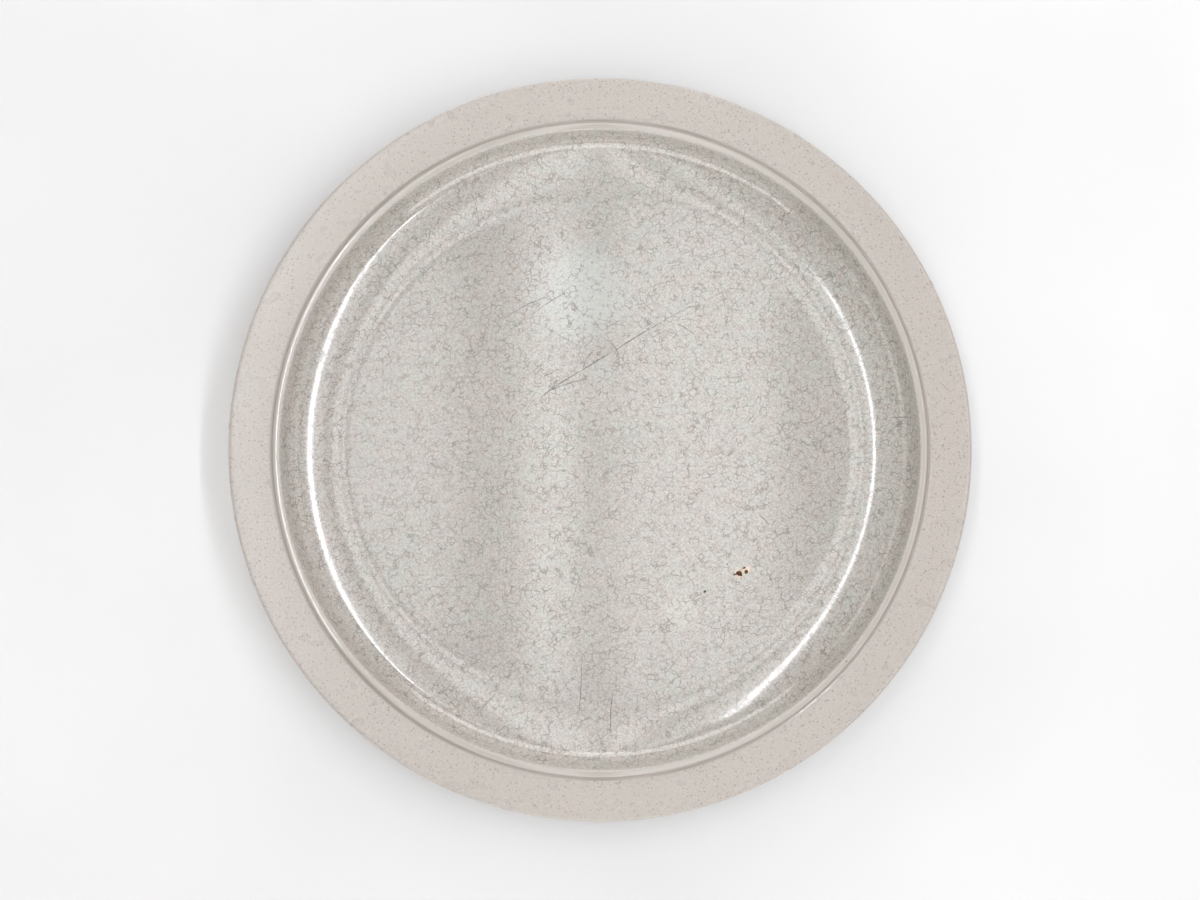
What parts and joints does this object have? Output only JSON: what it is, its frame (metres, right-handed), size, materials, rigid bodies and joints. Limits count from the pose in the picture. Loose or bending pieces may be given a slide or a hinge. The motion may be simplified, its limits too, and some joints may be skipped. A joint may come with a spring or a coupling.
{
  "type": "dirty dinner plate",
  "caption": "Round stoneware dinner plate, used and scraped clean: flat foot ring, crazed glazed well, raised bead, narrow matte rim, knife marks and dried specks.",
  "frame": {"origin": "on the plate's axis, at the plane that its foot ring rests on", "axes": "+Z is the plate's axis, out of the well; +X and +Y lie in the resting plane, any way round"},
  "size_m": [0.27, 0.27, 0.0234],
  "materials": {
    "stoneware": "glossy crackle glaze in the well, satin speckled glaze on the rim and the outside",
    "food_residue": "dried sauce",
    "knife_marks": "cutlery metal rubbed off on the glaze"
  },
  "bodies": {
    "root": {"plate": "stoneware"}
  },
  "joints": []
}
